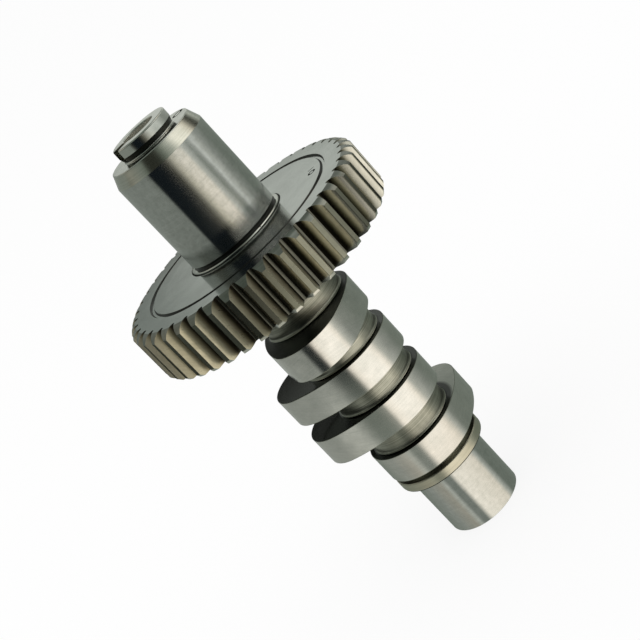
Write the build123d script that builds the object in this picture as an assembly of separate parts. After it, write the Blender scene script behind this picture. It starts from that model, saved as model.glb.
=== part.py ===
from build123d import *
import math
import os

# Camshaft with four lobes, and the spur gear pressed on to it, in millimetres.
# It stands on its small end: Z = 0 is the small end's face, and +Z runs along the
# shaft's axis towards the gear and the drive boss. Angles about the axis are counted
# counterclockwise from +X, seen from the drive end.

# Small end journal, thrust ring and the relief above it
small_journal_d = 20.64
small_journal_len = 17.8
small_end_chamfer = 0.2
ring_d = 25.7
ring_t = 2.8
relief_w = 1.4

# Core between the lobes
core_d = 22.1
core_flare = 0.9

# Lobes, counted from the small end: the core's length below each, and the nose's angle
base_circle_d = 26.0
lobe_lift = 7.9
nose_r = 10.2
flank_r = 35.0
lobe_t = 8.15
lobe_gaps = (relief_w, 5.5, 4.85, 5.4)
nose_angles = (48.5, 171.0, 164.0, 254.0)

# Shoulder and seat of the gear
collar_len = 7.95
shoulder_d = 32.0
shoulder_t = 3.5
shoulder_chamfer = 0.6
seat_d = 27.0
seat_stand_out = 0.5
seat_chamfer = 0.3

# Large journal, its undercut and its tapered lead
undercut_d = 24.7
undercut_w = 0.9
large_journal_d = 25.4
large_journal_len = 24.85
lead_len = 3.4
lead_end_d = 22.9
lead_edge = 0.25

# Drive boss: neck, disc, slot, counterbore and tapped hole
neck_d = 14.5
neck_len = 0.4
disc_flare_len = 1.2
disc_d = 15.4
disc_t = 2.3
disc_chamfer = 0.4
slot_w = 3.2
slot_depth = 3.4
slot_angle = 199.0
counterbore_d = 8.8
counterbore_depth = 5.0
counterbore_chamfer = 0.3
tap_drill_d = 5.1
tap_drill_depth = 18.0
drill_point = 118.0

# Centre hole in the small end's face
centre_cone_d = 6.0
centre_cone_angle = 60.0
centre_pilot_d = 2.5
centre_pilot_depth = 7.0

# Gear: 16 teeth for each inch of pitch diameter. Tip and root are given as shares of the module
inch = 25.4
diametral_pitch = 16.0
teeth = 42
pressure_angle = 25.0
tooth_thinning = 0.1
addendum_factor = 0.765
dedendum_factor = 1.315
root_rise = 0.3
gear_w = 13.65
top_bevel_axial = 1.4
top_bevel_radial = 1.6
bottom_bevel_axial = 0.95
bottom_bevel_radial = 0.7
tooth_phase = 268.6
bore_chamfer = 0.4
rim_w = 3.9
groove_w = 1.35
groove_depth = 0.5
groove_floor_w = 0.6

# Key that times the gear, in a closed keyseat
key_w = 3.175
key_h = 3.175
key_len = 9.5
key_angle = 90.0
keyseat_depth = 1.6
keyway_roof_clearance = 0.15

# Heights along the shaft, from the small end
ring_z = small_journal_len
relief_z = ring_z + ring_t
lobe_z = []
for n, gap in enumerate(lobe_gaps):
    start = relief_z if n == 0 else lobe_z[-1] + lobe_t
    lobe_z.append(start + gap)
collar_z = lobe_z[-1] + lobe_t
shoulder_z = collar_z + collar_len
gear_z = shoulder_z + shoulder_t
gear_top_z = gear_z + gear_w
seat_top_z = gear_top_z + seat_stand_out
journal_z = seat_top_z + undercut_w
lead_z = journal_z + large_journal_len
end_face_z = lead_z + lead_len
flare_z = end_face_z + neck_len
disc_z = flare_z + disc_flare_len
top_z = disc_z + disc_t

# Radii of the gear
module = inch / diametral_pitch
pitch_r = teeth * module / 2
tip_r = pitch_r + addendum_factor * module
root_r = pitch_r - dedendum_factor * module
groove_outer_r = root_r - rim_w
groove_inner_r = groove_outer_r - groove_w
base_r = pitch_r * math.cos(math.radians(pressure_angle))


def polar(radius, degrees):
    angle = math.radians(degrees)
    return (radius * math.cos(angle), radius * math.sin(angle))


def revolved(points):
    """Solid of revolution about Z from (radius, height) points."""
    outline = Polyline(*[(r, 0, z) for r, z in points], close=True)
    return revolve(make_face(outline), Axis.Z, 360)


# Shaft


def shaft_blank():
    """The whole bar as one turned outline, flared where the core meets the lobes."""
    outline = [
        (0, 0),
        (small_journal_d / 2 - small_end_chamfer, 0),
        (small_journal_d / 2, small_end_chamfer),
        (small_journal_d / 2, ring_z),
        (ring_d / 2, ring_z),
        (ring_d / 2, relief_z),
        (core_d / 2, relief_z),
        (core_d / 2, lobe_z[0]),
    ]
    for z, next_z in zip(lobe_z, lobe_z[1:] + [shoulder_z]):
        outline += flared_core(z + lobe_t, next_z)
    outline += [
        (shoulder_d / 2 - shoulder_chamfer, shoulder_z),
        (shoulder_d / 2, shoulder_z + shoulder_chamfer),
        (shoulder_d / 2, gear_z),
        (seat_d / 2, gear_z),
        (seat_d / 2, seat_top_z - seat_chamfer),
        (seat_d / 2 - seat_chamfer, seat_top_z),
        (undercut_d / 2, seat_top_z),
        (undercut_d / 2, journal_z),
        (large_journal_d / 2, journal_z),
        (large_journal_d / 2, lead_z),
        (lead_end_d / 2, end_face_z - lead_edge),
        (lead_end_d / 2 - lead_edge, end_face_z),
        (neck_d / 2, end_face_z),
        (neck_d / 2, flare_z),
        (disc_d / 2, disc_z),
        (disc_d / 2, top_z - disc_chamfer),
        (disc_d / 2 - disc_chamfer, top_z),
        (0, top_z),
    ]
    return revolved(outline)


def flared_core(z_low, z_high):
    """Core between two flat faces, wider where it meets each."""
    core_r = core_d / 2
    return [
        (core_r + core_flare, z_low),
        (core_r, z_low + core_flare),
        (core_r, z_high - core_flare),
        (core_r + core_flare, z_high),
    ]


def lobe_outline(nose_angle):
    """Base circle and nose circle joined by flank arcs that are tangent to both."""
    base = base_circle_d / 2
    nose_offset = base + lobe_lift - nose_r
    from_base = flank_r - base
    from_nose = flank_r - nose_r
    centre_x = (from_base**2 - from_nose**2 + nose_offset**2) / (2 * nose_offset)
    centre_y = math.sqrt(from_base**2 - centre_x**2)
    at_base = math.atan2(centre_y, -centre_x)
    at_nose = math.atan2(centre_y, nose_offset - centre_x)
    at_middle = (at_base + at_nose) / 2
    foot = Vector(base * math.cos(at_base), base * math.sin(at_base))
    tip = Vector(nose_offset + nose_r * math.cos(at_nose), nose_r * math.sin(at_nose))
    flank = Vector(
        centre_x + flank_r * math.cos(at_middle),
        flank_r * math.sin(at_middle) - centre_y,
    )

    def other_side(point):
        return Vector(point.X, -point.Y)

    with BuildSketch() as outline:
        with BuildLine():
            ThreePointArc(foot, (-base, 0), other_side(foot))
            ThreePointArc(other_side(foot), other_side(flank), other_side(tip))
            ThreePointArc(other_side(tip), (base + lobe_lift, 0), tip)
            ThreePointArc(tip, flank, foot)
        make_face()
    return Rot(0, 0, nose_angle) * outline.sketch


def lobe(z, nose_angle):
    """One ground lobe."""
    return Pos(0, 0, z) * extrude(lobe_outline(nose_angle), lobe_t)


def drive_slot():
    """Slot from the counterbore out through one side of the disc and its neck."""
    length = disc_d / 2 + disc_chamfer
    box = Box(length, slot_w, slot_depth, align=(Align.MIN, Align.CENTER, Align.MAX))
    return Rot(0, 0, slot_angle) * Pos(0, 0, top_z) * box


def screw_hole():
    """Counterbore with a broken edge, and the tapped hole below it."""
    bore_r = counterbore_d / 2
    drill_r = tap_drill_d / 2
    floor = top_z - counterbore_depth
    bottom = floor - tap_drill_depth
    point = drill_r / math.tan(math.radians(drill_point / 2))
    return revolved([
        (0, top_z),
        (bore_r + counterbore_chamfer, top_z),
        (bore_r, top_z - counterbore_chamfer),
        (bore_r, floor),
        (drill_r, floor),
        (drill_r, bottom),
        (0, bottom - point),
    ])


def centre_hole():
    """Lathe centre hole: a cone and a short pilot."""
    pilot_r = centre_pilot_d / 2
    cone_depth = (centre_cone_d / 2 - pilot_r) / math.tan(math.radians(centre_cone_angle / 2))
    point = pilot_r / math.tan(math.radians(drill_point / 2))
    return revolved([
        (0, 0),
        (centre_cone_d / 2, 0),
        (pilot_r, cone_depth),
        (pilot_r, centre_pilot_depth),
        (0, centre_pilot_depth + point),
    ])


def key_solid():
    """Key with round ends, standing in its seat."""
    floor_r = seat_d / 2 - keyseat_depth
    across = Plane(origin=(floor_r, 0, gear_z + gear_w / 2), x_dir=(0, 0, 1), z_dir=(1, 0, 0))
    sketch = across * SlotOverall(key_len, key_w)
    return Rot(0, 0, key_angle) * extrude(sketch, key_h)


def camshaft():
    body = shaft_blank()
    for z, nose_angle in zip(lobe_z, nose_angles):
        body += lobe(z, nose_angle)
    body -= screw_hole()
    body -= drive_slot()
    body -= centre_hole()
    body -= key_solid()
    return body


# Gear


def involute_angle(radius):
    """Half of one tooth's width at a radius, as an angle in degrees."""
    def involute(at):
        pressure = math.acos(min(1, base_r / at))
        return math.tan(pressure) - pressure

    half_at_pitch = math.pi / (2 * teeth) - tooth_thinning / (2 * pitch_r)
    return math.degrees(half_at_pitch + involute(pitch_r) - involute(radius))


def gear_outline():
    """Teeth in turn: two flanks, the tip land and the rounded root up to the next tooth."""
    pitch_angle = 360 / teeth
    foot_r = root_r + root_rise
    radii = (foot_r, pitch_r, tip_r)
    with BuildSketch() as outline:
        with BuildLine():
            for n in range(teeth):
                middle = tooth_phase + n * pitch_angle
                rising = [polar(r, middle - involute_angle(r)) for r in radii]
                falling = [polar(r, middle + involute_angle(r)) for r in reversed(radii)]
                next_foot = polar(foot_r, middle + pitch_angle - involute_angle(foot_r))
                ThreePointArc(*rising)
                ThreePointArc(rising[-1], polar(tip_r, middle), falling[0])
                ThreePointArc(*falling)
                ThreePointArc(falling[-1], polar(root_r, middle + pitch_angle / 2), next_foot)
        make_face()
    return outline.sketch


def gear_envelope():
    """Turned blank: bevelled rim, bored centre and the shallow groove in the top face."""
    bore_r = seat_d / 2
    over = 1.0
    groove_wall = (groove_w - groove_floor_w) / 2
    groove_floor = gear_top_z - groove_depth
    return revolved([
        (bore_r + bore_chamfer, gear_z),
        (tip_r - bottom_bevel_radial, gear_z),
        (tip_r, gear_z + bottom_bevel_axial),
        (tip_r + over, gear_z + bottom_bevel_axial),
        (tip_r + over, gear_top_z - top_bevel_axial),
        (tip_r, gear_top_z - top_bevel_axial),
        (tip_r - top_bevel_radial, gear_top_z),
        (groove_outer_r, gear_top_z),
        (groove_outer_r - groove_wall, groove_floor),
        (groove_inner_r + groove_wall, groove_floor),
        (groove_inner_r, gear_top_z),
        (bore_r + bore_chamfer, gear_top_z),
        (bore_r, gear_top_z - bore_chamfer),
        (bore_r, gear_z + bore_chamfer),
    ])


def keyway():
    """Broached keyway through the gear, with room above the key."""
    roof_r = seat_d / 2 - keyseat_depth + key_h + keyway_roof_clearance
    box = Box(roof_r, key_w, gear_w, align=(Align.MIN, Align.CENTER, Align.MIN))
    return Rot(0, 0, key_angle) * Pos(0, 0, gear_z) * box


def cam_gear():
    toothed = Pos(0, 0, gear_z) * extrude(gear_outline(), gear_w)
    return (toothed & gear_envelope()) - keyway()


os.makedirs("parts", exist_ok=True)
nodes = {
    "camshaft": camshaft(),
    "cam_gear": cam_gear(),
    "gear_key": key_solid(),
}
for name, shape in nodes.items():
    export_step(shape, f"parts/{name}.step")
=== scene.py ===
import math

import bmesh
import bpy
from mathutils import Matrix, Vector


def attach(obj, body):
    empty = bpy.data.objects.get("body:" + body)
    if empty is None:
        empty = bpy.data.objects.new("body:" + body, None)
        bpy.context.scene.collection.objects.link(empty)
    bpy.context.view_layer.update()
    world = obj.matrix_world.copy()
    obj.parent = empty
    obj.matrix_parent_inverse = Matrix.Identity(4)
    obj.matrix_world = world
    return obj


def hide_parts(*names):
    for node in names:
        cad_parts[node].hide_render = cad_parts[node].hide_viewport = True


# Camshaft with four ground lobes and a spur gear pressed on to it.
# Lengths are in millimetres until a mesh or a lamp is placed, then in metres.
# Angles about the axis are counted counterclockwise from +X, seen from the drive end.

MM = 0.001

# Small end, thrust ring and relief
small_journal_r = 10.32
small_end_edge = 0.2
ring_z = 17.8
ring_r = 12.85
ring_edge = 0.35
ring_top_edge = 0.4
relief_z = 20.6

# Core and lobes
core_r = 11.05
core_fillet = 0.9
lobe_z = (22.0, 35.65, 48.65, 62.2)
lobe_t = 8.15
base_circle_r = 13.0
lobe_lift = 7.9
nose_r = 10.2
flank_r = 35.0
nose_angles = (48.5, 171.0, 164.0, 254.0)
lobe_edge = 0.16

# Shoulder and seat of the gear
shoulder_z = 78.3
shoulder_r = 16.0
shoulder_edge = 0.6
gear_z = 81.8
gear_top_z = 95.45
seat_r = 13.5
seat_top_z = 95.95
seat_edge = 0.3

# Large journal with its undercut and tapered lead
undercut_r = 12.35
undercut_fillet = 0.25
journal_z = 96.85
journal_r = 12.7
journal_edge = 0.08
lead_z = 121.7
lead_end_r = 11.45
end_face_z = 125.1
lead_edge = 0.3

# Drive boss
neck_r = 7.25
neck_fillet = 0.3
flare_z = 125.5
disc_z = 126.7
disc_r = 7.7
disc_edge = 0.45
bore_mouth_edge = 0.3
top_z = 129.0
slot_w = 3.2
slot_depth = 3.4
slot_angle = 199.0
counterbore_r = 4.4
counterbore_depth = 5.0
tap_r = 2.55
tap_depth = 18.0
tap_point = 1.5

# Centre hole in the small end
centre_cone_r = 3.0
centre_cone_depth = 3.03
centre_pilot_r = 1.25
centre_pilot_depth = 7.0
centre_pilot_point = 0.75

# Gear
teeth = 42
pitch_r = 33.3375
tip_r = 34.552
root_r = 31.25
root_rise = 0.3
pressure_angle = 25.0
tooth_thinning = 0.1
tooth_phase = 268.6
bottom_bevel_axial = 0.95
bottom_bevel_radial = 0.7
crown = ((2.3, 0.0), (1.35, 0.32), (0.6, 0.85), (0.0, 1.55))
bore_edge = 0.4
groove_outer_r = 27.35
groove_inner_r = 26.0
groove_depth = 0.5
groove_floor_w = 0.6
gear_edge = 0.09

# Plain marks: a punched ring and a scribed tick on the gear's face
gear_mark_r = 23.4
gear_mark_angle = -15.2
gear_mark_ring_r = 0.85
gear_mark_line = 0.26
gear_tick_angle = -9.0
gear_tick_l = 1.8

# A punched ring on the end face, and a scribed tick across the seat's edge
end_mark_r = 9.45
end_mark_angle = 13.0
end_mark_ring_r = 1.25
end_mark_line = 0.34
seat_tick_r = undercut_r + 0.1
seat_tick_angle = -66.5
seat_tick_l = 1.4
tick_w = 0.35
tick_depth = 0.2

# Steps that the round surfaces are drawn in
turn_steps = 160
base_circle_steps = 64
lobe_flank_steps = 14
nose_steps = 40
core_fillet_steps = 7
edge_steps = 4
low_edge_steps = 3
tooth_flank_steps = 5
tooth_root_steps = 6
mark_steps = 28
mark_line_steps = 8

# A solid that cuts or joins reaches this far past the other
past = 1.0
# Points of a turned outline closer than this are one
weld = 0.004
# Neighbouring faces that meet at less than this many degrees are shaded as one surface
smooth_angle = 17


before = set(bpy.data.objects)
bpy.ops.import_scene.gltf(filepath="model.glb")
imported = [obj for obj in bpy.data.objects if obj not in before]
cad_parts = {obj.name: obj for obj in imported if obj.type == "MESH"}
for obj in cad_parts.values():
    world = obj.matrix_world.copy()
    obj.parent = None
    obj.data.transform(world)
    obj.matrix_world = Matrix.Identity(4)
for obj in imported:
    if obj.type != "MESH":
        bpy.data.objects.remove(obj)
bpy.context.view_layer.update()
bpy.ops.object.select_all(action="DESELECT")


# Modelling helpers


def polar(radius, degrees, height=0.0):
    angle = math.radians(degrees)
    return (radius * math.cos(angle), radius * math.sin(angle), height)


def arc(centre, radius, start, end, steps):
    """Points of an arc in the (radius, height) plane, angles in degrees."""
    points = []
    for n in range(steps + 1):
        angle = math.radians(start + (end - start) * n / steps)
        points.append((centre[0] + radius * math.cos(angle), centre[1] + radius * math.sin(angle)))
    return points


def draw_chain(name, points, closed=False):
    """Edges drawn by extruding one vertex from point to point."""
    bpy.ops.mesh.primitive_plane_add(size=MM, location=(0, 0, 0))
    piece = bpy.context.object
    piece.name = name
    places = [Vector(p) * MM for p in points]
    bpy.ops.object.mode_set(mode="EDIT")
    bpy.ops.mesh.merge(type="CENTER")
    bpy.ops.transform.translate(value=places[0])
    for here, there in zip(places, places[1:]):
        bpy.ops.mesh.extrude_region_move(TRANSFORM_OT_translate={"value": there - here})
    bpy.ops.mesh.select_all(action="SELECT")
    if closed:
        mesh = bmesh.from_edit_mesh(piece.data)
        mesh.verts.ensure_lookup_table()
        mesh.edges.new((mesh.verts[-1], mesh.verts[0]))
        bmesh.update_edit_mesh(piece.data)
        bpy.ops.mesh.select_all(action="SELECT")
    return piece


def turned(name, outline, ring=False):
    """Lathe work from a (radius, height) outline, which runs from axis to axis or closes as a ring."""
    piece = draw_chain(name, [(r, 0, z) for r, z in outline], closed=ring)
    bpy.ops.mesh.spin(steps=turn_steps, angle=math.tau, center=(0, 0, 0), axis=(0, 0, 1))
    bpy.ops.mesh.select_all(action="SELECT")
    bpy.ops.mesh.remove_doubles(threshold=weld * MM)
    bpy.ops.mesh.normals_make_consistent(inside=False)
    bpy.ops.object.mode_set(mode="OBJECT")
    return piece


def extruded(name, outline, bottom, height):
    """A flat outline raised to a plate."""
    piece = draw_chain(name, [(x, y, bottom) for x, y in outline], closed=True)
    bpy.ops.mesh.edge_face_add()
    bpy.ops.mesh.extrude_region_move(TRANSFORM_OT_translate={"value": (0, 0, height * MM)})
    bpy.ops.mesh.select_all(action="SELECT")
    bpy.ops.mesh.normals_make_consistent(inside=False)
    bpy.ops.object.mode_set(mode="OBJECT")
    return piece


def only(piece):
    bpy.ops.object.select_all(action="DESELECT")
    piece.select_set(True)
    bpy.context.view_layer.objects.active = piece


def finish_modifier(piece, kind, **settings):
    only(piece)
    modifier = piece.modifiers.new(kind.title(), kind)
    for key, value in settings.items():
        setattr(modifier, key, value)
    bpy.ops.object.modifier_apply(modifier=modifier.name)


def combine(piece, tool, operation):
    """Joins or cuts with another solid, which is then removed."""
    finish_modifier(piece, "BOOLEAN", object=tool, operation=operation, solver="EXACT")
    bpy.data.objects.remove(tool)


def break_edges(piece, width, above_degrees):
    """Rounds the edges that turn by more than an angle."""
    finish_modifier(
        piece, "BEVEL", width=width * MM, segments=2, limit_method="ANGLE",
        angle_limit=math.radians(above_degrees),
    )


def smooth(piece):
    """Smooth shading, in which the large faces stay true and the small edges turn."""
    only(piece)
    bpy.ops.object.shade_smooth_by_angle(angle=math.radians(smooth_angle))
    finish_modifier(piece, "WEIGHTED_NORMAL", keep_sharp=True)


def punch_ring(piece, radius, degrees, height, ring_r, line):
    """The plain ring that a round punch leaves in a face."""
    bpy.ops.mesh.primitive_torus_add(
        major_segments=mark_steps, minor_segments=mark_line_steps,
        major_radius=ring_r * MM, minor_radius=line * MM,
    )
    punch = bpy.context.object
    bpy.ops.object.mode_set(mode="EDIT")
    bpy.ops.mesh.select_all(action="SELECT")
    bpy.ops.transform.translate(value=Vector(polar(radius, degrees, height)) * MM)
    bpy.ops.object.mode_set(mode="OBJECT")
    combine(piece, punch, "DIFFERENCE")


def radial_cutter(start, length, width, bottom, height, degrees):
    """A bar that points away from the axis, for a slot or a scribed line."""
    bpy.ops.mesh.primitive_cube_add(size=1, location=(0, 0, 0))
    cutter = bpy.context.object
    bpy.ops.object.mode_set(mode="EDIT")
    bpy.ops.transform.resize(value=(length * MM, width * MM, height * MM))
    bpy.ops.transform.translate(value=((start + length / 2) * MM, 0, (bottom + height / 2) * MM))
    bpy.ops.transform.rotate(value=math.radians(-degrees), orient_axis="Z", center_override=(0, 0, 0))
    bpy.ops.object.mode_set(mode="OBJECT")
    return cutter


# Shaft


def lobe_outline(nose_angle):
    """Base circle, two flank arcs and the nose arc, each tangent to the next."""
    nose_offset = base_circle_r + lobe_lift - nose_r
    from_base = flank_r - base_circle_r
    from_nose = flank_r - nose_r
    centre_x = (from_base**2 - from_nose**2 + nose_offset**2) / (2 * nose_offset)
    centre_y = math.sqrt(from_base**2 - centre_x**2)
    at_base = math.degrees(math.atan2(centre_y, -centre_x))
    at_nose = math.degrees(math.atan2(centre_y, nose_offset - centre_x))
    outline = arc((0, 0), base_circle_r, at_base, 360 - at_base, base_circle_steps)
    outline += arc((centre_x, centre_y), flank_r, -at_base, -at_nose, lobe_flank_steps)[1:]
    outline += arc((nose_offset, 0), nose_r, -at_nose, at_nose, nose_steps)[1:]
    outline += arc((centre_x, -centre_y), flank_r, at_nose, at_base, lobe_flank_steps)[1:-1]
    turn = math.radians(nose_angle)
    cosine = math.cos(turn)
    sine = math.sin(turn)
    return [(x * cosine - y * sine, x * sine + y * cosine) for x, y in outline]


def shaft_outline():
    """The turned bar, with the fillets that the grinding wheel left beside each lobe."""
    into_lobe = 0.03
    outline = [(0, centre_pilot_depth + centre_pilot_point), (centre_pilot_r, centre_pilot_depth)]
    outline += [(centre_pilot_r, centre_cone_depth), (centre_cone_r, 0)]
    low_edge_r = small_journal_r - small_end_edge
    outline += arc((low_edge_r, small_end_edge), small_end_edge, -90, 0, low_edge_steps)
    outline += [(small_journal_r, ring_z)]
    outline += arc((ring_r - ring_edge, ring_z + ring_edge), ring_edge, -90, 0, low_edge_steps)
    outline += arc((ring_r - ring_top_edge, relief_z - ring_top_edge), ring_top_edge, 0, 90, edge_steps)
    outline += [(core_r, relief_z), (core_r, lobe_z[0] + past)]
    wide_r = core_r + core_fillet
    ends = list(lobe_z[1:]) + [shoulder_z]
    for bottom, above in zip(lobe_z, ends):
        at_lobe = above != shoulder_z
        low = bottom + lobe_t - into_lobe
        high = above + (into_lobe if at_lobe else 0)
        outline += [(wide_r, low - past)]
        outline += arc((wide_r, low + core_fillet), core_fillet, 270, 180, core_fillet_steps)
        outline += arc((wide_r, high - core_fillet), core_fillet, 180, 90, core_fillet_steps)
        if at_lobe:
            outline += [(wide_r, above + past)]
    rim_r = shoulder_r - shoulder_edge
    outline += arc((rim_r, shoulder_z + shoulder_edge), shoulder_edge, -90, 0, edge_steps)
    outline += [(shoulder_r, gear_z), (seat_r, gear_z)]
    outline += arc((seat_r - seat_edge, seat_top_z - seat_edge), seat_edge, 0, 90, edge_steps)
    fillet_r = undercut_r + undercut_fillet
    outline += arc((fillet_r, seat_top_z + undercut_fillet), undercut_fillet, 270, 180, edge_steps)
    outline += arc((fillet_r, journal_z - undercut_fillet), undercut_fillet, 180, 90, edge_steps)
    outline += [(journal_r - journal_edge, journal_z), (journal_r, journal_z + journal_edge)]
    outline += [(journal_r, lead_z), (lead_end_r, end_face_z - lead_edge)]
    outline += arc((lead_end_r - lead_edge, end_face_z - lead_edge), lead_edge, 20, 90, edge_steps)
    outline += arc((neck_r + neck_fillet, end_face_z + neck_fillet), neck_fillet, 270, 180, edge_steps)
    outline += [(neck_r, flare_z), (disc_r, disc_z)]
    outline += arc((disc_r - disc_edge, top_z - disc_edge), disc_edge, 0, 90, edge_steps)
    mouth_r = counterbore_r + bore_mouth_edge
    outline += arc((mouth_r, top_z - bore_mouth_edge), bore_mouth_edge, 90, 180, edge_steps)
    floor_z = top_z - counterbore_depth
    outline += [(counterbore_r, floor_z), (tap_r, floor_z), (tap_r, floor_z - tap_depth)]
    outline += [(0, floor_z - tap_depth - tap_point)]
    return outline


def make_shaft():
    shaft = turned("turned_camshaft", shaft_outline())
    for bottom, nose_angle in zip(lobe_z, nose_angles):
        lobe = extruded("lobe", lobe_outline(nose_angle), bottom, lobe_t)
        break_edges(lobe, lobe_edge, above_degrees=50)
        combine(shaft, lobe, "UNION")
    slot_floor_z = top_z - slot_depth
    slot = radial_cutter(0, disc_r + past, slot_w, slot_floor_z, slot_depth + past, slot_angle)
    combine(shaft, slot, "DIFFERENCE")
    tick_floor_z = seat_top_z - tick_depth
    tick = radial_cutter(seat_tick_r, seat_tick_l, tick_w, tick_floor_z, 2 * tick_depth, seat_tick_angle)
    combine(shaft, tick, "DIFFERENCE")
    punch_ring(shaft, end_mark_r, end_mark_angle, end_face_z, end_mark_ring_r, end_mark_line)
    smooth(shaft)
    return shaft


# Gear


def tooth_half_angle(radius):
    """Half of a tooth's width at a radius, in degrees, from the involute of its base circle."""
    base_r = pitch_r * math.cos(math.radians(pressure_angle))

    def involute(at):
        pressure = math.acos(min(1, base_r / at))
        return math.tan(pressure) - pressure

    at_pitch = math.pi / (2 * teeth) - tooth_thinning / (2 * pitch_r)
    return math.degrees(at_pitch + involute(pitch_r) - involute(radius))


def gear_outline():
    pitch = 360 / teeth
    foot_r = root_r + root_rise
    flank = [foot_r + (tip_r - foot_r) * n / tooth_flank_steps for n in range(tooth_flank_steps + 1)]
    foot_angle = tooth_half_angle(foot_r)
    gap = pitch / 2 - foot_angle
    root = []
    for n in range(1, tooth_root_steps):
        across = -1 + 2 * n / tooth_root_steps
        root.append((foot_r - root_rise * (1 - across**4), pitch / 2 + gap * across))
    outline = []
    for n in range(teeth):
        middle = tooth_phase + n * pitch
        outline += [polar(r, middle - tooth_half_angle(r))[:2] for r in flank]
        outline += [polar(tip_r, middle)[:2]]
        outline += [polar(r, middle + tooth_half_angle(r))[:2] for r in reversed(flank)]
        outline += [polar(r, middle + angle)[:2] for r, angle in root]
    return outline


def gear_blank_outline():
    """Turned blank: rounded crown on the rim, the bore with broken edges and the groove."""
    over_r = tip_r + past
    slant = past / 2
    crown_z = gear_top_z - crown[-1][1]
    wall = (groove_outer_r - groove_inner_r - groove_floor_w) / 2
    groove_z = gear_top_z - groove_depth
    outline = [(seat_r, gear_top_z - bore_edge), (seat_r, gear_z + bore_edge), (seat_r + bore_edge, gear_z)]
    outline += [(tip_r - bottom_bevel_radial, gear_z), (tip_r, gear_z + bottom_bevel_axial)]
    outline += [(over_r, gear_z + bottom_bevel_axial + slant), (over_r, crown_z - slant)]
    outline += [(tip_r - inward, gear_top_z - down) for inward, down in reversed(crown)]
    outline += [(groove_outer_r, gear_top_z), (groove_outer_r - wall, groove_z)]
    outline += [(groove_inner_r + wall, groove_z), (groove_inner_r, gear_top_z)]
    outline += [(seat_r + bore_edge, gear_top_z)]
    return outline


def make_gear():
    gear = extruded("finished_gear", gear_outline(), gear_z - past, gear_top_z - gear_z + 2 * past)
    combine(gear, turned("blank", gear_blank_outline(), ring=True), "INTERSECT")
    break_edges(gear, gear_edge, above_degrees=38)
    punch_ring(gear, gear_mark_r, gear_mark_angle, gear_top_z, gear_mark_ring_r, gear_mark_line)
    tick_start = gear_mark_r - gear_tick_l / 2
    tick_floor_z = gear_top_z - tick_depth
    tick = radial_cutter(tick_start, gear_tick_l, tick_w, tick_floor_z, 2 * tick_depth, gear_tick_angle)
    combine(gear, tick, "DIFFERENCE")
    smooth(gear)
    return gear


# Materials

# The tool's rings change slowly on their way round the shaft: cells of their noise in a metre
ring_drift = 18.0
# The part of a noise's range that is spread over the whole change of tone
noise_low = 0.32
noise_high = 0.68


def linear(hex_colour):
    """An sRGB hex colour as the linear values that Blender works in."""
    values = [int(hex_colour[n:n + 2], 16) / 255 for n in (1, 3, 5)]
    return tuple(v / 12.92 if v <= 0.04045 else ((v + 0.055) / 1.055) ** 2.4 for v in values) + (1.0,)


def add(tree, kind, links=None, stops=(), **settings):
    """One node with its settings and links. A link is a socket, anything else a plain value.

    stops are the (place, hex colour) pairs of a colour ramp.
    """
    node = tree.nodes.new(kind)
    for key, value in settings.items():
        setattr(node, key, value)
    for key, value in (links or {}).items():
        if isinstance(value, bpy.types.NodeSocket):
            tree.links.new(value, node.inputs[key])
        else:
            node.inputs[key].default_value = value
    for _ in stops[2:]:
        node.color_ramp.elements.new(1.0)
    for n, (position, colour) in enumerate(stops):
        node.color_ramp.elements[n].position = position
        node.color_ramp.elements[n].color = linear(colour)
    return node


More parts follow.
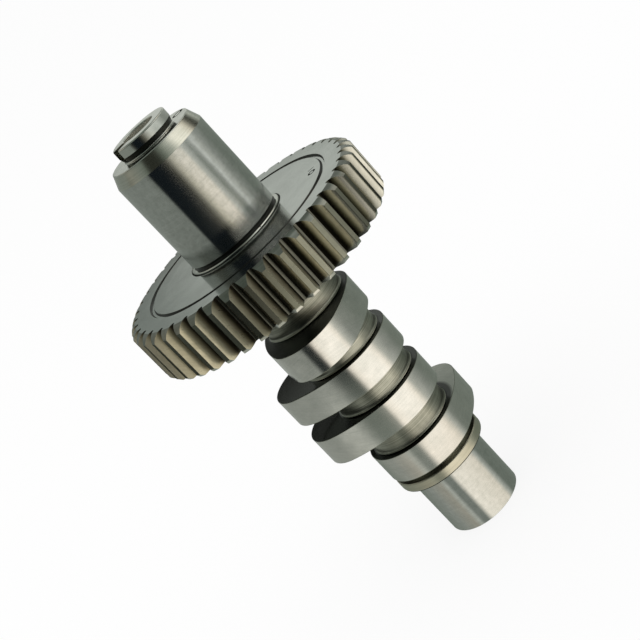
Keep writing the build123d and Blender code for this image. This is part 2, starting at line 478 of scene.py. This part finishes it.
def steel(name, colour, shade, roughness, spread, line_mm, line_depth, line_share, cloud_mm, by_radius=None,
          film=0.0, along=0.0):
    """Bare machined steel: fine rings left by the tool round the axis, and a faint cloudy stain.

    line_mm is the spacing of the rings, drawn coarser than life where they are too fine to show,
    and line_share is how much they show in the tone beside the stain.
    by_radius tints the steel by its distance from the axis, as (radius in mm, hex colour) stops.
    film is the share of it that is dull and hides the metal, as under dried oil; on the counterclockwise
    flanks it is part of the painted light.
    along is how far the grinding lines stretch a reflection along the axis.
    """
    material = bpy.data.materials.new(name)
    material.use_nodes = True
    tree = material.node_tree
    tree.nodes.clear()
    place = add(tree, "ShaderNodeTexCoord").outputs["Object"]
    split = add(tree, "ShaderNodeSeparateXYZ", {"Vector": place})
    flat = add(tree, "ShaderNodeCombineXYZ", {"X": split.outputs["X"], "Y": split.outputs["Y"]})
    radius = add(tree, "ShaderNodeVectorMath", {0: flat.outputs[0]}, operation="LENGTH").outputs["Value"]
    travel = add(tree, "ShaderNodeMath", {0: split.outputs["Z"], 1: radius}, operation="SUBTRACT").outputs[0]
    fine = add(tree, "ShaderNodeMath", {0: travel, 1: 1 / (line_mm * MM)}, operation="MULTIPLY").outputs[0]
    drift = (ring_drift, ring_drift, 0.0)
    sweep = add(tree, "ShaderNodeVectorMath", {0: flat.outputs[0], 1: drift}, operation="MULTIPLY")
    sweep_parts = add(tree, "ShaderNodeSeparateXYZ", {"Vector": sweep.outputs["Vector"]})
    ring_place = add(tree, "ShaderNodeCombineXYZ", {
        "X": sweep_parts.outputs["X"], "Y": sweep_parts.outputs["Y"], "Z": fine,
    }).outputs[0]
    rings = add(tree, "ShaderNodeTexNoise", {
        "Vector": ring_place, "Scale": 1.0, "Detail": 2.0, "Roughness": 0.6,
    }).outputs["Fac"]
    clouds = add(tree, "ShaderNodeTexNoise", {
        "Vector": place, "Scale": 1 / (cloud_mm * MM), "Detail": 4.0, "Roughness": 0.6,
    }).outputs["Fac"]
    both = add(tree, "ShaderNodeMix", {0: line_share, 2: clouds, 3: rings}).outputs[0]
    worn = add(tree, "ShaderNodeMapRange", {
        "Value": both, "From Min": noise_low, "From Max": noise_high,
    }).outputs[0]
    tone = add(tree, "ShaderNodeValToRGB", {"Fac": worn}, stops=((0.0, shade), (1.0, colour))).outputs[0]
    if by_radius:
        lowest, highest = by_radius[0][0], by_radius[-1][0]
        outward = add(tree, "ShaderNodeMapRange", {
            "Value": radius, "From Min": lowest * MM, "From Max": highest * MM,
        }).outputs[0]
        tints = [((r - lowest) / (highest - lowest), c) for r, c in by_radius]
        tint = add(tree, "ShaderNodeValToRGB", {"Fac": outward}, stops=tints).outputs[0]
        tone = add(tree, "ShaderNodeMix", {
            0: 1.0, 6: tone, 7: tint,
        }, data_type="RGBA", blend_type="MULTIPLY").outputs[2]
    rough = add(tree, "ShaderNodeMapRange", {
        "Value": worn, "To Min": roughness + spread, "To Max": roughness - spread,
    }).outputs[0]
    bump = add(tree, "ShaderNodeBump", {
        "Height": rings, "Strength": 1.0, "Distance": line_depth * MM,
    }).outputs[0]
    axis = add(tree, "ShaderNodeCombineXYZ", {"Z": 1.0}).outputs[0]
    shader = add(tree, "ShaderNodeBsdfPrincipled", {
        "Base Color": tone, "Metallic": 1.0 - film, "Roughness": rough, "Normal": bump,
        "Anisotropic": along, "Tangent": axis,
    })
    add(tree, "ShaderNodeOutputMaterial", {"Surface": shader.outputs[0]})
    return material


# Hardened steel, ground on its bearing surfaces: a mirror that the fine lines blur along the axis
ground = steel("ground_journal_steel", "#CDCECA", "#B9BBB6", 0.14, 0.015, 0.35, 0.0001, 0.3, 1.3, along=0.85)
# The lobes are ground with a coarser wheel
lobe_ground = steel("ground_lobe_steel", "#D8D6D0", "#C4C4BE", 0.19, 0.02, 0.4, 0.0003, 0.3, 3.0)
# Side faces of the lobes, as the lathe tool cut them before hardening, with painted shade beside the core
lobe_side = steel(
    "faced_lobe_steel", "#B9BBB6", "#A4A7A2", 0.13, 0.03, 0.5, 0.0004, 0.4, 5.0,
    by_radius=((11.0, "#2C2E2C"), (12.7, "#3A3D3A"), (13.6, "#D4D6D2"), (21.0, "#E0E0DC")),
)
# A dark copy of the same face, painted shade on top of the two lobes that point to the left
lobe_side_shaded = steel("shaded_lobe_steel", "#2E302D", "#222421", 0.16, 0.03, 0.5, 0.0004, 0.4, 5.0)
# Turned core between the lobes, browned a little by the heat of hardening
turned_core = steel("turned_core_steel", "#BDBDAF", "#585A50", 0.33, 0.05, 0.2, 0.004, 0.65, 6.0)
# Thrust ring, turned to size with a yellowish grey bloom
turned_ring = steel("turned_ring_steel", "#CBC8B6", "#B1AE9D", 0.3, 0.04, 0.3, 0.001, 0.5, 6.0)
# Tapered lead of the journal, turned and left unground
lead_steel = steel("turned_lead_steel", "#CDCEC4", "#B6B8AE", 0.2, 0.03, 0.4, 0.0005, 0.4, 5.0)
# End face and boss, turned bright
end_steel = steel("bright_turned_steel", "#D6D7D0", "#B8BAB4", 0.14, 0.03, 0.4, 0.0006, 0.4, 3.0)
# Inside of the counterbore: bored with a small tool, and duller
bored = steel("bored_steel", "#DCDBCD", "#A6A597", 0.32, 0.05, 0.3, 0.001, 0.5, 2.0, film=0.25)
# Painted shade: a dark steel laid under the thrust ring and the boss, in the undercut, on top of the lobe
# beside the gear, and in the gear's bore, groove and the punched and scribed marks
painted_shade = steel("painted_shade_steel", "#3C3D3A", "#2A2B29", 0.35, 0.05, 0.4, 0.001, 0.5, 3.0)
# Gear's side faces, ground flat
gear_face = steel("ground_gear_face", "#BFC3C0", "#B0B4B1", 0.14, 0.02, 0.6, 0.0003, 0.3, 7.0)
# Rounded tooth ends, filed by hand and duller than the face
crown_steel = steel("filed_crown_steel", "#90938C", "#70736C", 0.32, 0.04, 0.5, 0.001, 0.3, 3.0)
# Teeth: shaved bright on their flanks, dull on the turned tips, and with painted shade that deepens towards
# the roots
tooth_steel = steel(
    "shaved_tooth_steel", "#F2F2EE", "#DADAD6", 0.25, 0.03, 0.5, 0.0008, 0.3, 4.0,
    by_radius=(
        (31.2, "#6C6E68"), (31.9, "#62645E"), (32.7, "#8A8C85"), (33.6, "#DEDED8"), (34.3, "#EFEFE9"),
        (34.5, "#9A9C92"), (34.56, "#94968A"),
    ),
)
# Painted light on one side of each tooth: the flanks that face counterclockwise take a browner, partly dull
# copy of the tooth steel, with painted shade towards the roots
ccw_flank = steel(
    "ccw_flank_steel", "#C8C2A9", "#ACA68E", 0.3, 0.04, 0.5, 0.0008, 0.3, 4.0,
    by_radius=(
        (31.3, "#3C3A34"), (32.0, "#5A564C"), (32.7, "#C0BCB0"), (33.4, "#F0F0EC"), (34.6, "#FFFFFF"),
    ),
    film=0.28,
)
# Key stock, drawn to size
key_steel = steel("drawn_key_steel", "#9A9A97", "#858583", 0.3, 0.05, 0.5, 0.002, 0.4, 5.0)


# Allowances for faces that lie on a limit, and for those beside one
hair = 0.01
slack = 0.1


def assign(piece, materials, choose):
    """Gives each face the material that choose picks for it.

    choose is given the radius and height of the face's middle in millimetres, its normal, and onward,
    which is how far the face looks counterclockwise round the axis, from -1 to 1.
    """
    piece.data.materials.clear()
    for material in materials:
        piece.data.materials.append(material)
    for face in piece.data.polygons:
        centre = face.center / MM
        radius = math.hypot(centre.x, centre.y)
        onward = (centre.x * face.normal.y - centre.y * face.normal.x) / max(radius, hair)
        face.material_index = materials.index(choose(radius, centre.z, face.normal, onward))


def shaft_finish(radius, height, normal, onward):
    side = abs(normal.z) < 0.2
    level = abs(normal.z) > 0.9
    bore_end_z = top_z - counterbore_depth - tap_depth - tap_point
    in_bore = radius < counterbore_r + slack / 2 and bore_end_z - slack < height < top_z - bore_mouth_edge
    if in_bore:
        return bored
    if height < ring_z:
        return end_steel if level else ground
    if journal_z < height < lead_z and side and radius > journal_r - 2 * slack:
        return ground
    # Painted shade under the thrust ring
    if height < relief_z + hair:
        return painted_shade if height < ring_z + ring_edge and not side else turned_ring
    # Painted shade under the boss and in the punched ring on the end face
    under_disc = end_face_z + neck_fillet - slack / 2 < height < disc_z
    if under_disc and radius < disc_r + slack:
        return painted_shade
    in_mark = neck_r + neck_fillet < radius < lead_end_r - lead_edge and normal.z < 0.95
    if height > end_face_z - end_mark_line - slack / 2:
        return painted_shade if in_mark and height < end_face_z else end_steel
    if height > journal_z:
        return lead_steel
    # Painted shade in the undercut
    if height > seat_top_z - hair and radius < undercut_r + 2 * undercut_fillet:
        return painted_shade
    # Painted shade in the scribed tick on the seat
    if height > gear_z:
        in_tick = radius < seat_r - seat_edge and height < seat_top_z - hair
        return painted_shade if in_tick else end_steel
    # Painted shade on top of the lobe beside the gear
    if normal.z > 0.9 and lobe_z[3] + lobe_t - slack < height < shoulder_z:
        return painted_shade
    # Painted shade: the dark copy of the faced steel on top of the two lobes that point to the left
    if normal.z > 0.9 and lobe_z[1] + lobe_t - slack < height < lobe_z[2] + lobe_t + slack:
        return lobe_side_shaded
    if radius > base_circle_r - 0.25 and side and height < shoulder_z:
        return lobe_ground
    return lobe_side if abs(normal.z) > 0.75 else turned_core


def gear_finish(radius, height, normal, onward):
    flat = abs(normal.z) > 0.95
    # Painted shade in the gear's bore, its groove and its marks
    if radius < seat_r + bore_edge or (radius < root_r - 1 and not flat):
        return painted_shade
    if flat:
        return gear_face
    if height > gear_top_z - crown[-1][1] and normal.z > 0.25:
        return crown_steel
    # Painted light: the flanks that face counterclockwise take their own copy of the tooth steel
    return ccw_flank if onward > 0.4 else tooth_steel


shaft = make_shaft()
shaft_steels = (
    ground, lobe_ground, lobe_side, turned_core, turned_ring, end_steel, painted_shade, bored, lead_steel,
    lobe_side_shaded,
)
assign(shaft, shaft_steels, shaft_finish)
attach(shaft, "root")
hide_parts("camshaft")

gear = make_gear()
gear_steels = (gear_face, tooth_steel, painted_shade, crown_steel, ccw_flank)
assign(gear, gear_steels, gear_finish)
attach(gear, "root")
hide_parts("cam_gear")

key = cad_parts["gear_key"]
key.data.materials.clear()
key.data.materials.append(key_steel)


# Floor, lights and the studio tent

# A wide floor, so that its rim lies in the distance
floor_size_m = 80
# Share of the paper that shines by itself when it is looked at, so that it looks white in the shade
paper_glow = 0.82
# White of the world as a light, where it looks like 1
world_light = 0.92
tent_r = 230
tent_z = 95
tent_strength = 1.55


def looked_at(tree):
    """One for a ray that shows a thing to the camera, straight, in a mirror or through glass, else nought."""
    ray = add(tree, "ShaderNodeLightPath")
    seen = add(tree, "ShaderNodeMath", {
        0: ray.outputs["Is Camera Ray"], 1: ray.outputs["Is Glossy Ray"],
    }, operation="ADD").outputs[0]
    return add(tree, "ShaderNodeMath", {
        0: seen, 1: ray.outputs["Is Transmission Ray"],
    }, operation="ADD", use_clamp=True).outputs[0]


def paper():
    """White paper that looks white to the camera and in a mirror, and still takes the object's shadow."""
    material = bpy.data.materials.new("white_paper")
    material.use_nodes = True
    tree = material.node_tree
    tree.nodes.clear()
    share = add(tree, "ShaderNodeMath", {0: looked_at(tree), 1: paper_glow}, operation="MULTIPLY").outputs[0]
    matt = add(tree, "ShaderNodeBsdfDiffuse", {"Color": linear("#FAFAFA")}).outputs[0]
    white = add(tree, "ShaderNodeEmission", {"Color": linear("#FFFFFF"), "Strength": 1.0}).outputs[0]
    both = add(tree, "ShaderNodeMixShader", {0: share, 1: matt, 2: white}).outputs[0]
    add(tree, "ShaderNodeOutputMaterial", {"Surface": both})
    return material


def make_floor():
    bpy.ops.mesh.primitive_plane_add(size=floor_size_m, location=(0, 0, 0))
    floor = bpy.context.object
    floor.name = "floor"
    floor.data.materials.append(paper())
    floor.visible_glossy = False


def at_azimuth(degrees):
    """Place on a ramp of an azimuth from -180 to 180, counted from the front towards the right."""
    return (degrees + 180) / 360


# Cards and cloths that the tent is hung with
black_card = "#11161A"
soot = "#262722"
olive = "#464842"
umber = "#66645B"
slate = "#697069"
pewter = "#777C77"
grey = "#868A85"
stone = "#97948A"
pale_grey = "#A9ACA6"
straw = "#BAB4A4"
silver = "#C0C3BF"
cream = "#DFD7CA"
ivory = "#F2EBE0"
white = "#FAF6EE"

# Rows of panels from the floor up, by azimuth in degrees. Each row ends at a height in millimetres,
# with a soft edge above and below it. The comment names what mirrors the row to the camera.
panel_rows = (
    # Small journal
    (((-180, slate), (-150, slate), (-100, grey), (-62, stone), (-50, pale_grey), (-41, pewter),
      (-26, pewter), (-13, ivory), (58, cream), (70, pale_grey), (84, slate), (110, slate), (180, slate)),
     -47, 1.5),
    # Lower two lobes
    (((-180, grey), (-74, grey), (-62, pale_grey), (-52, pale_grey), (-41, slate), (-22, slate),
      (-12, ivory), (8, white), (40, white), (50, ivory), (60, pale_grey), (80, grey), (110, slate),
      (150, slate), (180, grey)), -21, 2),
    # Upper two lobes
    (((-180, grey), (-52, grey), (-42, black_card), (-24, black_card), (-15, ivory), (-2, white),
      (34, white), (45, ivory), (56, pale_grey), (80, grey), (110, slate), (150, slate), (180, grey)),
     13, 4),
    # Teeth
    (((-180, soot), (-60, soot), (-44, soot), (-30, olive), (-17, umber), (-3, straw), (22, cream),
      (54, ivory), (68, stone), (84, umber), (104, soot), (180, soot)), 42, 2),
    # Large journal
    (((-180, silver), (-164, pewter), (-51, pewter), (-46, black_card), (-10, black_card), (-4, soot),
      (2, umber), (11, straw), (24, cream), (35, cream), (44, pale_grey), (55, slate), (62, grey),
      (69, silver), (78, pale_grey), (90, grey), (112, slate), (162, slate), (180, silver)), 90, 3),
    # Boss, and the side face of the lowest lobe
    (((-180, grey), (-178, soot), (-167, soot), (-161, grey), (-150, pewter), (-60, pewter), (-50, soot),
      (-42, black_card), (-20, black_card), (-12, soot), (0, umber), (24, silver), (66, silver),
      (100, grey), (160, grey), (174, pale_grey), (180, grey)), 127.5, 1.5),
    # Side faces of the middle lobes
    (((-180, slate), (-178, soot), (-160, soot), (-152, pewter), (-105, pewter), (-92, slate),
      (-52, slate), (-46, black_card), (-12, black_card), (2, soot), (18, slate), (60, grey), (90, slate),
      (150, grey), (176, grey), (180, slate)), 139.5, 1.5),
    # Gear's face, and the foot of the journal in it
    (((-180, pale_grey), (-168, pewter), (-52, pewter), (-46, black_card), (-12, black_card), (0, white),
      (44, white), (60, silver), (72, silver), (90, white), (120, silver), (165, grey), (180, pale_grey)),
     144, 1.5),
    # End face, and the journal's image in the gear's face
    (((-180, pale_grey), (-168, pewter), (-108, pewter), (-94, olive), (-80, soot), (-50, black_card),
      (62, black_card), (76, soot), (88, olive), (98, soot), (118, soot), (138, pale_grey),
      (180, pale_grey)), 192, 8),
    # Taper
    (((-180, grey), (-108, stone), (-63, pewter), (-50, slate), (-42, soot), (-8, soot), (7, slate),
      (29, pale_grey), (50, white), (74, white), (94, cream), (118, pale_grey), (141, grey), (180, grey)),
     270, 15),
    # Rounded edges
    (((-180, slate), (20, slate), (50, grey), (74, silver), (98, silver), (140, slate), (180, slate)),
     None, None),
)


def make_tent():
    """Studio tent of grey, black and cream panels round the shaft. Only its image in the polish shows."""
    bpy.ops.mesh.primitive_uv_sphere_add(segments=96, ring_count=48, radius=tent_r * MM, location=(0, 0, 0))
    tent = bpy.context.object
    tent.name = "studio_tent"
    bpy.ops.object.mode_set(mode="EDIT")
    bpy.ops.transform.translate(value=(0, 0, tent_z * MM))
    bpy.ops.object.mode_set(mode="OBJECT")
    material = bpy.data.materials.new("tent_panels")
    material.use_nodes = True
    tree = material.node_tree
    tree.nodes.clear()
    place = add(tree, "ShaderNodeTexCoord").outputs["Object"]
    split = add(tree, "ShaderNodeSeparateXYZ", {"Vector": place})
    front = add(tree, "ShaderNodeMath", {0: split.outputs["Y"], 1: -1.0}, operation="MULTIPLY").outputs[0]
    turn = add(tree, "ShaderNodeMath", {0: split.outputs["X"], 1: front}, operation="ARCTAN2").outputs[0]
    along = add(tree, "ShaderNodeMapRange", {
        "Value": turn, "From Min": -math.pi, "From Max": math.pi,
    }).outputs[0]

    def panels(row):
        stops = [(at_azimuth(degrees), colour) for degrees, colour in row]
        return add(tree, "ShaderNodeValToRGB", {"Fac": along}, stops=stops).outputs[0]

    def stack(low, high, height, blend):
        above = add(tree, "ShaderNodeMapRange", {
            "Value": split.outputs["Z"], "From Min": (height - blend) * MM, "From Max": (height + blend) * MM,
        }, interpolation_type="SMOOTHSTEP").outputs[0]
        return add(tree, "ShaderNodeMix", {0: above, 6: low, 7: high}, data_type="RGBA").outputs[2]

    picture = panels(panel_rows[0][0])
    for (_, height, blend), (row, _, _) in zip(panel_rows, panel_rows[1:]):
        picture = stack(picture, panels(row), height, blend)
    light = add(tree, "ShaderNodeEmission", {"Color": picture, "Strength": tent_strength})
    add(tree, "ShaderNodeOutputMaterial", {"Surface": light.outputs[0]})
    tent.data.materials.append(material)
    tent.visible_camera = False
    tent.visible_diffuse = False
    tent.visible_shadow = False
    tent.visible_transmission = False
    tent.visible_volume_scatter = False


def make_lamp(name, place, aim, size, power):
    """A round lamp, in metres and watts, that no mirror shows."""
    bpy.ops.object.light_add(type="AREA", location=place)
    lamp = bpy.context.object
    lamp.name = name
    lamp.data.shape = "DISK"
    lamp.data.size = size
    lamp.data.energy = power
    lamp.rotation_euler = (Vector(aim) - Vector(place)).to_track_quat("-Z", "Y").to_euler()
    lamp.visible_glossy = False


def make_world():
    """White all round. As light it is a little weaker than it looks."""
    world = bpy.data.worlds.new("studio")
    world.use_nodes = True
    tree = world.node_tree
    tree.nodes.clear()
    strength = add(tree, "ShaderNodeMapRange", {
        "Value": looked_at(tree), "To Min": world_light, "To Max": 1.0,
    }).outputs[0]
    white = add(tree, "ShaderNodeBackground", {
        "Color": linear("#FFFFFF"), "Strength": strength,
    }).outputs[0]
    add(tree, "ShaderNodeOutputWorld", {"Surface": white})
    bpy.context.scene.world = world


make_floor()
make_tent()
make_lamp("soft_overhead", place=(-0.25, -0.35, 1.1), aim=(0, 0, 0.05), size=0.9, power=1.6)
make_world()


# Camera, from a pinhole model fitted to the photograph's ellipses and edges

camera_place = (0.739, -325.06, 174.55)
look_down = math.radians(18.516)
roll = math.radians(46.9)
focal_px = 1418.7
picture_px = 640.0
sensor_mm = 36.0


def make_camera():
    data = bpy.data.cameras.new("camera")
    data.sensor_width = sensor_mm
    data.sensor_fit = "HORIZONTAL"
    data.lens = sensor_mm * focal_px / picture_px
    data.clip_start = 0.01
    camera = bpy.data.objects.new("camera", data)
    bpy.context.scene.collection.objects.link(camera)
    forward = Vector((0, math.cos(look_down), -math.sin(look_down)))
    down_axis = Vector((0, -math.sin(look_down), -math.cos(look_down)))
    across = Vector((1, 0, 0))
    right = across * math.sin(roll) + down_axis * math.cos(roll)
    up = across * math.cos(roll) - down_axis * math.sin(roll)
    matrix = Matrix((right, up, -forward)).transposed().to_4x4()
    matrix.translation = Vector(camera_place) * MM
    camera.matrix_world = matrix
    bpy.context.scene.camera = camera


make_camera()
bpy.context.scene.view_settings.view_transform = "Standard"
